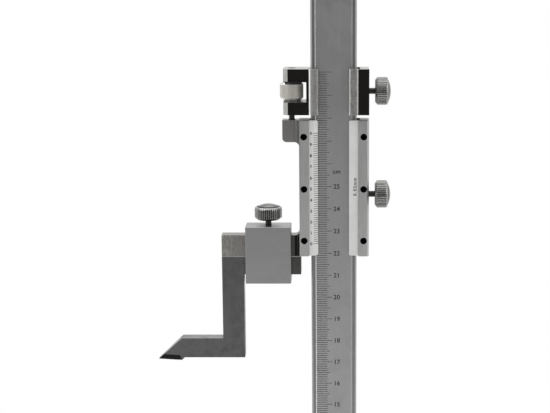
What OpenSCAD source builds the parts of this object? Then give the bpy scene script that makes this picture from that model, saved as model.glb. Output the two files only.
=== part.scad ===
// Vernier height gauge, 0 to 250 mm by 0.02 mm, with fine adjustment and a carbide-tipped scriber.
// Millimetres, +Z up, +X to the right of the scale, the scale faces -Y.
// The origin is on the lapped sole of the base, straight below the middle of the beam.

/* [Reading] */
// Height that the gauge is set to, from the sole to the scriber's measuring face
reading = 224.6; // [0:0.02:250]

/* [Beam] */
// Width of the graduated beam
beam_w = 20; // [16:0.5:26]
// Thickness of the beam
beam_t = 5; // [4:0.25:8]
// Chamfer on the long outer edges of the beam
beam_chamfer = 0.7; // [0.3:0.1:1.2]
// Width of the recessed scale face between the two guide rails
scale_face_w = 15.7; // [13:0.1:16]
// Depth of the scale face below the rails
scale_face_d = 0.2; // [0.1:0.05:0.4]
// Largest height that the gauge measures
measuring_range = 250; // [250:5:300]
// Length of beam above the line of the largest reading
beam_above_range = 96.5; // [94:0.5:110]
// Distance from the top of the beam to the stop screw
stop_screw_drop = 7; // [5:0.5:9]
// Diameter of the stop screw
stop_screw_d = 3; // [2.5:0.5:4]

/* [Graduations] */
// Length of the main scale
scale_len = 300; // [250:10:320]
// Pitch of the main scale
scale_pitch = 1; // [1:1:2]
// Width of an engraved line
line_w = 0.24; // [0.1:0.01:0.3]
// Depth of an engraved line
line_d = 0.06; // [0.03:0.01:0.1]
// Distance of the lines' outer ends from the guide rail
line_margin = 0.18; // [0.1:0.02:0.4]
// Length of a millimetre line
mm_line = 4.74; // [4:0.02:5]
// Length of a half-centimetre line
half_line = 5.71; // [5.1:0.01:6]
// Length of a centimetre line
cm_line = 6.82; // [6.1:0.02:7.4]
// Divisions of the vernier
vernier_divisions = 50; // [50:1:50]
// Width of a short vernier line, up to the thin edge
vernier_line = 1.84; // [1.4:0.02:2]
// Width of a numbered vernier line
vernier_long_line = 2.15; // [2.06:0.01:2.4]

/* [Base] */
// Length of the base, along X
base_l = 110; // [90:1:140]
// Distance from the beam's middle to the end of the base on the scriber's side
base_reach = 36.5; // [30:0.5:38]
// Width of the base, along Y
base_w = 72; // [60:1:90]
// Height of the base's shoulder
base_h = 29.5; // [27:0.5:40]
// Height of the raised pad on top of the base
pad_h = 4; // [2:0.5:8]
// Width of the raised pad, along Y
pad_w = 38; // [26:1:46]
// Margin between the ends of the base and the raised pad
pad_margin = 7; // [4:0.5:12]
// Radius of the corners of the base, seen from above
base_corner_r = 8; // [4:0.5:12]
// Radius of the finger grooves along both sides
grip_r = 10; // [8:0.5:12]
// Height of the middle of the finger grooves
grip_mid = 17.7; // [15:0.1:20]
// Depth of the finger grooves
grip_d = 5.5; // [3:0.5:7]
// Chamfer along the top edges of the base
base_chamfer = 1.5; // [0.5:0.25:2.5]
// Depth of the relief in the sole
relief_d = 1.2; // [0.5:0.1:2]
// Radius of the corners of the relief
relief_corner_r = 3; // [1:0.5:6]
// Width of the lapped land that the sole rests on
land_w = 9; // [6:0.5:12]
// Thickness of the base under the foot of the beam
beam_floor = 4; // [3:0.5:6]
// Thickness of the base behind the beam, under the heads of the cap screws
beam_screw_wall = 10; // [6:0.5:14]
// Diameter of the two cap screws that hold the beam
beam_screw_d = 5; // [4:0.5:6]
// Distance between the two cap screws
beam_screw_pitch = 12; // [11:0.5:13]
// Radial clearance of the cap screws and their heads in the base
screw_play = 0.2; // [0.1:0.05:0.4]
// Head of a cap screw, as a multiple of its thread's diameter
head_ratio = 1.7; // [1.6:0.05:1.8]
// Hexagon socket across its flats, as a multiple of the thread's diameter
socket_ratio = 0.8; // [0.7:0.05:0.85]
// Depth of a hexagon socket, as a share of the head's height
socket_depth = 0.55; // [0.4:0.05:0.7]
// Distance of the screws' ends behind the scale face
screw_end = 0.3; // [0.2:0.1:1]

/* [Slider] */
// Height of the slider
slider_h = 60.4; // [56:0.2:66]
// Height of the vernier's zero line above the bottom of the slider
zero_above_slider = 5.5; // [4:0.1:6]
// Thickness of the slider's left wall, beside the beam
left_wall = 5; // [4.6:0.1:7]
// Thickness of the slider's right wall, outside the gib
right_wall = 3.95; // [3.6:0.05:6]
// Thickness of the slider's back
slider_back = 1.45; // [1.2:0.05:3]
// Thickness of the lips that hold the face plates
lip_t = 1.15; // [1:0.05:2]
// Width of the slider's left lip, seen from the front
left_lip_w = 4.05; // [3.6:0.05:4.5]
// Width of the slider's right lip, seen from the front
right_lip_w = 4.6; // [4:0.05:5]
// Thickness of the wall outside the grooves for the plates' flanges
groove_wall = 0.8; // [0.6:0.05:1.2]
// Chamfer on the outer front edge of the right wall
wall_chamfer = 0.8; // [0.3:0.1:1.2]
// Chamfer along the top front edge
top_chamfer = 0.5; // [0.2:0.05:0.8]
// Thickness of the gibs
gib_t = 1.3; // [1:0.05:2]
// Distance of the gibs' long edges from the beam's front and back
gib_inset = 0.2; // [0.1:0.05:0.5]
// Distance of the gibs' lower ends above the bottom of what holds them
gib_rise = 0.8; // [0.5:0.1:2]
// Distance of the gibs' upper ends below the top of what holds them
gib_drop = 3; // [1:0.25:4]
// Running clearance of everything that slides
slide_gap = 0.05; // [0.02:0.01:0.1]
// Width of the relief in the inner corner beside the beam's left edge
corner_relief = 0.7; // [0.4:0.1:0.8]
// Reach of that relief towards the back
relief_reach = 1.8; // [1.2:0.1:2.2]
// Clearance of what is seated and then screwed down
seat_gap = 0.03; // [0.01:0.01:0.05]

/* [Face plates] */
// Width of the visible face of the vernier plate and of the plate opposite
plate_w = 4.1; // [3.4:0.05:4.3]
// Thickness of the visible face of the plates
plate_t = 1.35; // [1.1:0.05:1.6]
// Thickness of the flange that the lips hold
flange_t = 0.85; // [0.6:0.05:1]
// Width of the bevel that brings the vernier down to the scale
bevel_w = 1.75; // [1:0.05:2.5]
// Thickness of the vernier's thin edge
bevel_edge = 0.25; // [0.15:0.05:0.5]
// Distance of the plates' lower ends above the slider's bottom
plate_rise = 0.2; // [0.1:0.05:0.5]
// Distance of the plates' upper ends below the slider's top
plate_drop = 0.3; // [0.1:0.05:0.5]
// Radius of the plates' free corners
plate_corner_r = 0.9; // [0.4:0.1:1.4]
// Play of the plate screws in their slots, for setting the vernier
slot_play = 0.6; // [0.2:0.1:1]
// Distance between the plate screws
plate_screw_pitch = 23; // [18:0.5:25]
// Height of the middle plate screw above the slider's middle
plate_screw_shift = -0.25; // [-2:0.05:1]
// Diameter of the head of a plate screw
plate_head_d = 2.9; // [2.4:0.1:3.1]
// Height of the head of a plate screw
plate_head_h = 0.85; // [0.6:0.05:0.95]
// Diameter of the thread of a plate screw
plate_thread_d = 1.9; // [1.6:0.1:2.1]
// Length of the thread of a plate screw
plate_thread_l = 4.4; // [3:0.1:5.5]

/* [Arm and lug] */
// Thickness of the arm, the lug and the scriber, along Y
arm_t = 6; // [5:0.25:7]
// Height of the arm
arm_h = 9.8; // [8:0.1:12]
// Distance of the arm's underside below the slider
arm_drop = 0.8; // [0.3:0.1:1.5]
// Radius of the fillet between the arm or lug and the slider
root_r = 2.2; // [1:0.1:2.4]
// Width of the lug, beyond the slider's side
lug_w = 7.35; // [6.6:0.05:9]
// Height of the lug
lug_h = 9.65; // [7:0.05:14]
// Distance of the lug's top below the slider's top
lug_drop = 0.35; // [0.1:0.05:1.5]
// Radius of the lug's outer lower corner
lug_corner_r = 1.8; // [1:0.1:3]

/* [Fine adjustment] */
// Height of the gap between the slider and the carrier
carrier_gap = 2.3; // [2:0.1:6]
// Height of the carrier
carrier_h = 19.75; // [17:0.25:24]
// Thickness of the carrier in front of the beam
carrier_front = 4.45; // [3.5:0.05:6]
// Thickness of the carrier behind the beam
carrier_back = 4.95; // [4.7:0.05:7]
// Width of the carrier's side block, outside the beam
carrier_side = 11.7; // [11.2:0.1:14]
// Chamfer on the outer edges of the side block
carrier_chamfer = 2; // [1:0.1:2.5]
// Width of the carrier's two front lips
carrier_lip_w = 4; // [3.5:0.1:4.4]
// Distance that the front lips reach outside the beam's edges
lip_cover = 0.55; // [0.4:0.05:1]
// Height of the lips above the carrier's front faces
lip_rise = 0.3; // [0.1:0.05:0.6]
// Bevel on the long edges of the lips
lip_bevel = 0.6; // [0.3:0.05:0.9]
// Width of the wall between the beam and the window
window_wall = 1.7; // [1.3:0.1:2.4]
// Diameter of the knurled nut
nut_d = 10.2; // [9:0.1:11]
// Height of the knurled nut
nut_h = 8.4; // [7:0.1:11]
// Chamfer on both ends of the nut
nut_chamfer = 1.25; // [0.8:0.05:2]
// Depth of that chamfer towards the nut's axis
nut_chamfer_in = 1.2; // [0.5:0.1:1.5]
// Distance that the nut stands out of the carrier's side
nut_proud = 1.65; // [1:0.05:2.2]
// Play of the nut in its window, at each end
nut_play = 0.1; // [0.05:0.05:0.3]
// Number of grooves round the nut
nut_grooves = 60; // [36:2:72]
// Depth of the grooves round the nut
nut_knurl_d = 0.12; // [0.05:0.01:0.2]
// Diameter of the adjusting rod
rod_d = 2.8; // [2:0.1:3.2]
// Length of the rod's thread in the lug
rod_grip = 8; // [5:0.1:9]
// Distance of the rod's end below the carrier's top
rod_short = 0.8; // [0.2:0.1:2]
// Chamfer on the rod's upper end
rod_chamfer = 0.4; // [0.2:0.1:0.8]
// Diameter of the clearance holes for the rod
rod_hole_d = 3.6; // [3.4:0.1:4.2]
// Depth of the countersink at the mouth of the lug's thread
lug_mouth = 0.8; // [0.4:0.1:1.5]

/* [Clamp screws] */
// Diameter of the clamp screws' knurled heads
knob_d = 12.1; // [10:0.1:14]
// Length of the knurled head
knob_l = 6.9; // [6:0.1:9]
// Diameter of the flat face next to the thread
knob_face_d = 9.8; // [8:0.1:9.9]
// Chamfer length of the head, on the thread's side
knob_chamfer = 1; // [0.6:0.1:1.6]
// Radius of the round shoulder on the outer end
shoulder_r = 1.05; // [0.6:0.05:1.2]
// Width of the groove between the shoulder and the dome
dome_gap = 0.35; // [0.2:0.05:0.6]
// Height of the dome above the shoulder
dome_h = 1.2; // [0.8:0.1:1.6]
// Height of the dome's upright foot above the shoulder
dome_foot = 0.15; // [0.1:0.05:0.3]
// Depth of the groove between the shoulder and the dome
dome_groove = 0.4; // [0.2:0.05:0.6]
// Number of grooves round a head
knob_grooves = 42; // [24:2:48]
// Depth of the grooves round the heads
knurl_d = 0.45; // [0.2:0.05:0.5]
// Share of a knurl's pitch that stays as land
knurl_land = 0.5; // [0.4:0.05:0.8]
// Diameter of the clamp screws' threads
stud_d = 2.9; // [2.4:0.1:3.2]
// Length of thread between a head and the part that it clamps, when tight
stud_show = 2.6; // [1.8:0.1:4]
// Depth of the thread's end in the head
stud_seat = 3.6; // [2.5:0.1:4.5]
// Radial clearance of the threads in their holes
thread_gap = 0.05; // [0.02:0.01:0.08]
// Length of the brass pads under the threads
pad_len = 1; // [0.6:0.1:1.5]
// Height of the slider's clamp screw above the slider's middle
slider_screw_shift = -3; // [-9:0.1:9]

/* [Scriber clamp] */
// Width of the clamp box
box_w = 20.1; // [16:0.1:24]
// Thickness of the front and back walls of the box
box_wall = 2.3; // [1.8:0.1:3.5]
// Thickness of the box above the arm
box_top = 4.1; // [3.4:0.1:6]
// Thickness of the box under the scriber
box_floor = 3.7; // [2.8:0.1:5]
// Chamfer on the outer edges of the box
box_chamfer = 0.3; // [0.1:0.05:0.8]
// Gap between the box and the slider's side
box_offset = 3.9; // [3.4:0.1:6]
// Clearance of the box's bottom above the base at zero reading
base_clearance = 2.2; // [1.5:0.1:5]

/* [Scriber] */
// Height of the scriber's bar, under the arm
bar_h = 7.95; // [7:0.05:10]
// Length of the scriber's bar, from the outer side of its leg
bar_l = 35.1; // [33:0.1:35.2]
// Width of the scriber's leg
leg_w = 9.7; // [8:0.1:11.5]
// Gap between the leg and the clamp box
leg_gap = 0.9; // [0.5:0.1:2]
// Length of the foot beyond the leg, up to the start of the point
foot_l = 18.6; // [12:0.1:30]
// Height of the foot
foot_h = 8.85; // [7:0.05:11]
// Length of the sloping point
point_l = 10.7; // [9:0.1:14]
// Height of the foot's underside above the measuring face
tip_drop = 1.15; // [0.6:0.05:1.5]
// Width of the measuring edge at the very tip
tip_w = 2.4; // [1.6:0.1:4]
// Length of the taper that narrows the point
tip_taper = 9; // [6:0.5:14]
// Height of the carbide insert
carbide_h = 2.25; // [1.2:0.05:2.4]
// Length of the carbide insert along the measuring face
carbide_l = 10.75; // [8:0.05:14]
// Overhang of the insert's slanted inner end
carbide_slant = 1.2; // [0.6:0.1:1.6]

/* [Hidden] */
$fn = 64;
// Small overlap that lets cutting shapes pass cleanly through a face
cut = 1;
// Smaller overlap that joins two shapes of one piece
lap = 0.01;

// Places across the gauge
beam_x = beam_w / 2;
beam_y = beam_t / 2;
left_in = beam_x + slide_gap;
right_in = beam_x + 2 * slide_gap + gib_t;
slider_left = left_in + left_wall;
slider_right = right_in + right_wall;
back_in = beam_y + slide_gap;
slider_rear = back_in + slider_back;
flange_front = back_in + flange_t;
slider_front = flange_front + seat_gap + lip_t;
lip_left = slider_left - left_lip_w;
lip_right = slider_right - right_lip_w;
screw_left = (slider_left + lip_left) / 2;
screw_right = (slider_right + lip_right) / 2;
pad_x = left_in + gib_t + seat_gap;
arm_front = slider_rear - arm_t;
arm_mid = slider_rear - arm_t / 2;
thread_r = stud_d / 2 + thread_gap;

// Heights of the base and of the clamp box above the lowest reading
base_top = base_h + pad_h;
box_below_slider = arm_drop + bar_h + box_floor + 2 * seat_gap;
box_h = box_floor + bar_h + arm_h + box_top + 3 * seat_gap;
scale_zero_z = base_top + base_clearance + box_below_slider + zero_above_slider;
beam_top_z = scale_zero_z + measuring_range + beam_above_range;
stop_z = beam_top_z - stop_screw_drop;
beam_screw_mid_z = (base_h + beam_floor) / 2;
beam_screw_heights = [beam_screw_mid_z - beam_screw_pitch / 2, beam_screw_mid_z + beam_screw_pitch / 2];
beam_thread_l = beam_t - scale_face_d - screw_end;

// Heights of the moving parts at this reading
slider_z = scale_zero_z + reading - zero_above_slider;
slider_mid_z = slider_z + slider_h / 2;
slider_top_z = slider_z + slider_h;
arm_z = slider_z - arm_drop;
arm_top_z = arm_z + arm_h;
lug_top_z = slider_top_z - lug_drop;
lug_z = lug_top_z - lug_h;
carrier_z = slider_top_z + carrier_gap;
carrier_mid_z = carrier_z + carrier_h / 2;
carrier_top_z = carrier_z + carrier_h;
slider_screw_z = slider_mid_z + slider_screw_shift;
vernier_zero_z = scale_zero_z + reading;
// A vernier of 50 divisions spans 49 of the scale's
vernier_pitch = scale_pitch * (vernier_divisions - 1) / vernier_divisions;

// Carrier and nut
carrier_left = beam_x + slide_gap + carrier_side;
carrier_right = slider_right;
carrier_front_y = back_in + carrier_front;
carrier_back_y = back_in + carrier_back;
window_x = left_in + window_wall;
window_h = nut_h + 2 * nut_play;
rod_x = -(carrier_left + nut_proud - nut_d / 2);
rod_top_z = carrier_top_z - rod_short;

// Clamp box and scriber
box_right = slider_left + box_offset;
box_left = box_right + box_w;
box_mid = (box_left + box_right) / 2;
box_z = arm_z - 2 * seat_gap - bar_h - box_floor;
box_front = arm_front - seat_gap - box_wall;
box_rear = slider_rear + seat_gap + box_wall;
box_top_z = box_z + box_h;
leg_left = box_left + leg_gap + leg_w;
bar_top_z = arm_z - seat_gap;
tip_z = reading;
foot_z = tip_z + tip_drop;
foot_top_z = foot_z + foot_h;
point_x = leg_left + foot_l;
tip_x = point_x + point_l;

// Helping shapes

// Rectangle between two corners
module span(x0, y0, x1, y1) {
  translate([x0, y0]) square([x1 - x0, y1 - y0]);
}

// Rectangle round the origin with true round corners
module round_rect(w, h, r) {
  square([w - 2 * r, h], center = true);
  square([w, h - 2 * r], center = true);
  for (x = [-1, 1], y = [-1, 1]) translate([x * (w / 2 - r), y * (h / 2 - r)]) circle(r);
}

// Rectangle round the origin with its corners cut off
module cut_rect(w, h, c) {
  polygon([[c - w / 2, -h / 2], [w / 2 - c, -h / 2], [w / 2, c - h / 2], [w / 2, h / 2 - c],
    [w / 2 - c, h / 2], [c - w / 2, h / 2], [-w / 2, h / 2 - c], [-w / 2, c - h / 2]]);
}

// Concave corner filler: it fills the corner at the origin, towards +x and +y
module fillet_area(r) {
  difference() {
    square(r);
    translate([r, r]) circle(r);
  }
}

// Block from low to high whose twelve edges are chamfered
module chamfered_block(low, high, c) {
  size = high - low;
  translate((low + high) / 2) intersection() {
    linear_extrude(size.z, center = true) cut_rect(size.x, size.y, c);
    rotate([90, 0, 0]) linear_extrude(size.y, center = true) cut_rect(size.x, size.z, c);
    rotate([90, 0, 90]) linear_extrude(size.x, center = true) cut_rect(size.y, size.z, c);
  }
}

// Straight piece with an outline in X and Z, between two Y values
module plate_xz(y0, y1) {
  translate([0, y1, 0]) rotate([90, 0, 0]) linear_extrude(y1 - y0) children();
}

// Cylinder along +X, starting at x, y, z
module along_x(x, y, z, l, r) {
  translate([x, y, z]) rotate([0, 90, 0]) cylinder(h = l, r = r);
}

// Cylinder along +Y, starting at x, y, z
module along_y(x, y, z, l, r) {
  translate([x, y, z]) rotate([-90, 0, 0]) cylinder(h = l, r = r);
}

// Ring of teeth, as the outline of a straight knurl
module knurl_outline(r, depth, grooves) {
  step = 360 / grooves;
  half_land = knurl_land / 2;
  polygon([for (i = [0 : grooves - 1], side = [[-half_land, 0], [half_land, 0], [0.5, depth]])
    (r + lap - side[1]) * [cos((i + side[0]) * step), sin((i + side[0]) * step)]]);
}

// Base and beam

module base_section() difference() {
  translate([0, base_h / 2]) cut_rect(base_w, base_h, base_chamfer);
  for (side = [-1, 1]) translate([side * (base_w / 2 - grip_d + grip_r), grip_mid]) circle(grip_r);
}

module base_casting() {
  mid_x = base_l / 2 - base_reach;
  pad_l = base_l - 2 * pad_margin;
  pocket_w = beam_w + 2 * seat_gap;
  pocket_t = beam_t + 2 * seat_gap;
  relief_w = base_w - 2 * land_w;
  color("dimgray") difference() {
    union() {
      intersection() {
        translate([-base_reach, 0, 0]) rotate([90, 0, 90]) linear_extrude(base_l) base_section();
        translate([mid_x, 0, 0]) linear_extrude(base_h) round_rect(base_l, base_w, base_corner_r);
      }
      intersection() {
        translate([mid_x, 0, base_h - cut]) linear_extrude(pad_h + cut)
          round_rect(pad_l, pad_w, base_corner_r);
        translate([-base_reach, 0, 0]) rotate([90, 0, 90]) linear_extrude(base_l)
          translate([0, base_top / 2]) cut_rect(pad_w, base_top, base_chamfer);
        translate([mid_x, base_w / 2, 0]) rotate([90, 0, 0]) linear_extrude(base_w)
          translate([0, base_top / 2]) cut_rect(pad_l, base_top, base_chamfer);
      }
    }
    translate([-pocket_w / 2, -pocket_t / 2, beam_floor]) cube([pocket_w, pocket_t, base_top]);
    // Relief in the sole, on both sides of the land under the beam
    for (ends = [[land_w - base_reach, -land_w], [land_w, base_l - base_reach - land_w]])
      translate([(ends[0] + ends[1]) / 2, 0, -cut]) linear_extrude(relief_d + cut)
        round_rect(ends[1] - ends[0], relief_w, relief_corner_r);
    for (z = beam_screw_heights) {
      along_y(0, beam_y, z, base_w, beam_screw_d / 2 + screw_play);
      along_y(0, beam_y + beam_screw_wall, z, base_w, beam_screw_d * head_ratio / 2 + screw_play);
    }
  }
}

// Line of the main scale: every fifth one is longer, and every tenth one longer still
function scale_line(i) = i % 10 == 0 ? cm_line : i % 5 == 0 ? half_line : mm_line;

module scale_lines() {
  x0 = line_margin - scale_face_w / 2;
  plate_xz(-beam_y - cut, scale_face_d + line_d - beam_y) for (i = [0 : floor(scale_len / scale_pitch)])
    translate([x0, scale_zero_z + i * scale_pitch - line_w / 2]) square([scale_line(i), line_w]);
}

module beam() {
  length = beam_top_z - beam_floor;
  color("silver") difference() {
    translate([0, 0, beam_floor]) linear_extrude(length) difference() {
      cut_rect(beam_w, beam_t, beam_chamfer);
      span(-scale_face_w / 2, -beam_y - cut, scale_face_w / 2, scale_face_d - beam_y);
    }
    for (z = beam_screw_heights) along_y(0, -beam_y - cut, z, beam_t + 2 * cut, beam_screw_d / 2);
    along_y(0, -beam_y - cut, stop_z, beam_t + 2 * cut, stop_screw_d / 2);
    scale_lines();
  }
}

// Cap screw with a hexagon socket: its head's seat is at the origin, the head towards +Y
module cap_screw(d, l, head_d, head_l) {
  depth = head_l * socket_depth;
  difference() {
    union() {
      along_y(0, -l, 0, l, d / 2 - seat_gap);
      along_y(0, 0, 0, head_l, head_d / 2);
    }
    translate([0, head_l - depth, 0]) rotate([-90, 0, 0])
      cylinder(h = depth + cut, r = d * socket_ratio / 2 / cos(30), $fn = 6);
  }
}

module beam_screws() {
  color("dimgray") for (z = beam_screw_heights) translate([0, beam_y + beam_screw_wall, z])
    cap_screw(beam_screw_d, beam_screw_wall + beam_thread_l, beam_screw_d * head_ratio, beam_screw_d);
}

module beam_stop_screw() {
  color("dimgray") translate([0, beam_y, stop_z])
    cap_screw(stop_screw_d, beam_thread_l, stop_screw_d * head_ratio, stop_screw_d);
}

// Slider

// Heights of the three plate screws on each side
function plate_screw_heights() =
  [for (i = [-1, 0, 1]) slider_mid_z + plate_screw_shift + i * plate_screw_pitch];

module slider_section() {
  groove_front = flange_front + seat_gap;
  difference() {
    span(-slider_left, -slider_front, slider_right, slider_rear);
    span(-left_in, -back_in - cut, right_in, back_in);
    span(groove_wall - slider_left, -groove_front, slider_right - groove_wall, -back_in);
    span(-lip_left, -slider_front - cut, lip_right, lap - groove_front);
    // Corner relief beside the beam's left edge
    span(-left_in - corner_relief, -back_in - cut, 0, relief_reach - back_in);
    // Chamfer on the outer front edge
    translate([slider_right, -slider_front]) rotate(45)
      square(wall_chamfer * sqrt(2), center = true);
  }
}

// Arm or lug root: joins a block at the slider's side with a fillet in front
module root_fillet(z0, z1) {
  translate([-slider_left, arm_front, z0]) linear_extrude(z1 - z0) rotate(180) fillet_area(root_r);
}

module arm_and_lug() {
  lug_x = slider_left + lug_w;
  plate_xz(arm_front, slider_rear) {
    // Arm with a fillet on top of its root
    span(-leg_left, arm_z, lap - slider_left, arm_top_z);
    translate([-slider_left, arm_top_z]) rotate(90) fillet_area(root_r);
    // Lug with a rounded outer corner and a fillet under its root
    difference() {
      span(-lug_x, lug_z, lap - slider_left, lug_top_z);
      translate([-lug_x, lug_z]) fillet_area(lug_corner_r);
    }
    translate([-slider_left, lug_z]) rotate(180) fillet_area(root_r);
  }
  root_fillet(slider_z, arm_top_z);
  root_fillet(lug_z, lug_top_z);
}

module slider_frame() {
  chamfer_side = top_chamfer * sqrt(2);
  color("gray") difference() {
    union() {
      translate([0, 0, slider_z]) linear_extrude(slider_h) slider_section();
      arm_and_lug();
    }
    // Chamfer along the top front edge
    translate([0, -slider_front, slider_top_z]) rotate([45, 0, 0])
      cube([slider_left + slider_right + 2 * cut, chamfer_side, chamfer_side], center = true);
    for (z = plate_screw_heights(), x = [-screw_left, screw_right]) {
      along_y(x, -slider_front - cut, z, lip_t + cut + seat_gap, plate_head_d / 2 + thread_gap);
      along_y(x, -flange_front, z, plate_thread_l + seat_gap, plate_thread_d / 2);
    }
    along_x(right_in - cut, 0, slider_screw_z, right_wall + 2 * cut, thread_r);
    // Tapped hole for the adjusting rod, with a clearance ring at its mouth
    translate([rod_x, arm_mid, lug_top_z - rod_grip]) cylinder(h = rod_grip + cut, r = rod_d / 2);
    translate([rod_x, arm_mid, lug_top_z - lug_mouth]) cylinder(h = lug_mouth + cut, r = rod_hole_d / 2);
  }
}

// Face plate on the right of the scale, between the lip's inner edge and the groove's outer side
module face_plate(side_x, groove_x, bevel) {
  inner = side_x - plate_w;
  outer = groove_x - seat_gap;
  front = back_in + plate_t;
  z0 = slider_z + plate_rise;
  z1 = slider_top_z - plate_drop;
  mid_z = (z0 + z1) / 2;
  length = z1 - z0;
  intersection() {
    translate([0, 0, z0]) linear_extrude(length) difference() {
      union() {
        span(inner, -front, side_x - seat_gap, -back_in);
        span(inner, -flange_front, outer, -back_in);
      }
      if (bevel) polygon([[inner - cut, -back_in - bevel_edge], [inner, -back_in - bevel_edge],
        [inner + bevel_w, -front], [inner + bevel_w, -front - cut], [inner - cut, -front - cut]]);
    }
    // The two free corners are rounded
    plate_xz(-front - cut, 0) {
      translate([inner + plate_w, mid_z]) round_rect(2 * plate_w, length, plate_corner_r);
      span(inner + plate_w, z0, outer + cut, z1);
    }
  }
}

// Slots in the flange, a little longer than the threads are wide, so that the plate can be set
module flange_slots(x) {
  r = plate_thread_d / 2 + thread_gap;
  plate_xz(-flange_front - cut, 0) for (z = plate_screw_heights()) translate([x, z]) {
    square([2 * r, slot_play], center = true);
    for (end = [-0.5, 0.5]) translate([0, end * slot_play]) circle(r);
  }
}

// Vernier line, engraved from the flat face down the bevel to the thin edge
module vernier_line_area(length) {
  edge = plate_w - lip_left;
  flat = back_in + plate_t;
  polygon([[edge + cut, -flat - cut], [edge + cut, line_d - back_in - bevel_edge],
    [edge, line_d - back_in - bevel_edge], [edge - bevel_w, line_d - flat],
    [edge - length, line_d - flat], [edge - length, -flat - cut]]);
}

module vernier_lines() {
  for (i = [0 : vernier_divisions]) translate([0, 0, vernier_zero_z + i * vernier_pitch - line_w / 2])
    linear_extrude(line_w) vernier_line_area(i % 5 == 0 ? vernier_long_line : vernier_line);
}

module vernier_plate() {
  color("gainsboro") difference() {
    mirror([1, 0, 0]) face_plate(lip_left, slider_left - groove_wall, true);
    flange_slots(-screw_left);
    vernier_lines();
  }
}

module right_face_plate() {
  color("gainsboro") difference() {
    face_plate(lip_right, slider_right - groove_wall, false);
    flange_slots(screw_right);
  }
}

module plate_screws(x) {
  color("black") for (z = plate_screw_heights()) translate([x, -flange_front, z]) mirror([0, 1, 0])
    cap_screw(plate_thread_d, plate_thread_l, plate_head_d, plate_head_h);
}

module vernier_plate_screws() plate_screws(-screw_left);

module right_plate_screws() plate_screws(screw_right);

// Gib strip that takes up the play on the right edge of the beam, inside what stands from z0 to z1
module gib(z0, z1) {
  color("darkgoldenrod") translate([left_in, gib_inset - beam_y, z0 + gib_rise])
    cube([gib_t, beam_t - 2 * gib_inset, z1 - z0 - gib_rise - gib_drop]);
}

module slider_gib() gib(slider_z, slider_top_z);

// Rod that is screwed into the lug and carries the nut
module adjusting_rod() {
  z0 = lug_top_z - rod_grip;
  length = rod_top_z - z0;
  color("gray") translate([rod_x, arm_mid, z0]) rotate_extrude()
    polygon([[0, 0], [rod_d / 2, 0], [rod_d / 2, length - rod_chamfer],
      [rod_d / 2 - rod_chamfer, length], [0, length]]);
}

// Clamp screws, drawn along +Z: the pad's tip is at the origin

module clamp_pad() {
  color("goldenrod") cylinder(h = pad_len, r = stud_d / 2 - seat_gap);
}

// The wall is the thickness that the thread passes through, beyond the pad's tip
module clamp_stud(wall) {
  color("dimgray") translate([0, 0, pad_len])
    cylinder(h = wall + stud_show + stud_seat - pad_len, r = stud_d / 2);
}

// Half of a knob's section: face, chamfer, knurled rim, round shoulder, groove and dome
module knob_section() {
  shoulder = knob_l - dome_h;
  cap = dome_h - dome_foot;
  ring = knob_d / 2 - shoulder_r;
  foot = ring - dome_gap;
  dome_r = (pow(foot, 2) + pow(cap, 2)) / (2 * cap);
  difference() {
    union() {
      polygon([[0, 0], [knob_face_d / 2, 0], [knob_d / 2, knob_chamfer],
        [knob_d / 2, shoulder - shoulder_r], [0, shoulder - shoulder_r]]);
      span(0, shoulder - shoulder_r - lap, ring, shoulder);
      translate([ring, shoulder - shoulder_r]) circle(shoulder_r);
    }
    span(foot, shoulder - dome_groove, ring, shoulder + cut);
  }
  intersection() {
    translate([0, knob_l - dome_r]) circle(dome_r);
    span(0, shoulder - lap, foot, knob_l);
  }
}

module clamp_knob(wall) {
  color("silver") translate([0, 0, wall + stud_show]) difference() {
    intersection() {
      rotate_extrude() intersection() {
        knob_section();
        span(0, 0, knob_d, knob_l);
      }
      translate([0, 0, -cut]) linear_extrude(knob_l + 2 * cut)
        knurl_outline(knob_d / 2, knurl_d, knob_grooves);
    }
    translate([0, 0, -cut]) cylinder(h = stud_seat + cut, r = stud_d / 2);
  }
}

// Each clamp screw in its place
module at_slider_screw() {
  translate([pad_x, 0, slider_screw_z]) rotate([0, 90, 0]) children();
}

module at_carrier_screw() {
  translate([pad_x, 0, carrier_mid_z]) rotate([0, 90, 0]) children();
}

module at_box_screw() {
  translate([-box_mid, arm_mid, arm_top_z + seat_gap]) children();
}

module slider_clamp_pad() at_slider_screw() clamp_pad();

module slider_clamp_stud() at_slider_screw() clamp_stud(slider_right - pad_x);

module slider_clamp_knob() at_slider_screw() clamp_knob(slider_right - pad_x);

module carrier_clamp_pad() at_carrier_screw() clamp_pad();

module carrier_clamp_stud() at_carrier_screw() clamp_stud(slider_right - pad_x);

module carrier_clamp_knob() at_carrier_screw() clamp_knob(slider_right - pad_x);

module box_clamp_pad() at_box_screw() clamp_pad();

module box_clamp_stud() at_box_screw() clamp_stud(box_top);

module box_clamp_knob() at_box_screw() clamp_knob(box_top);

// Fine adjustment carrier

module carrier_section() {
  face = carrier_front_y - lip_rise;
  lip_out = left_in + lip_cover;
  lip_in = lip_out - carrier_lip_w;
  // Half of the front, from the outside of a lip to its inner edge beside the scale
  lip = [[lip_out, -face], [lip_out - lip_bevel, -carrier_front_y], [lip_in + lip_bevel, -carrier_front_y],
    [lip_in, lip_bevel - carrier_front_y], [lip_in, 0]];
  difference() {
    polygon(concat([[carrier_right, carrier_back_y], [carrier_right, -face]], lip,
      [for (i = [len(lip) - 1 : -1 : 0]) [-lip[i].x, lip[i].y]],
      [[-carrier_left, -face], [-carrier_left, carrier_back_y]]));
    span(-left_in, -back_in, right_in, back_in);
    span(-left_in - corner_relief, -back_in, 0, relief_reach - back_in);
    for (y = [-face, carrier_back_y]) translate([-carrier_left, y]) rotate(45)
      square(carrier_chamfer * sqrt(2), center = true);
  }
}

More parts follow.
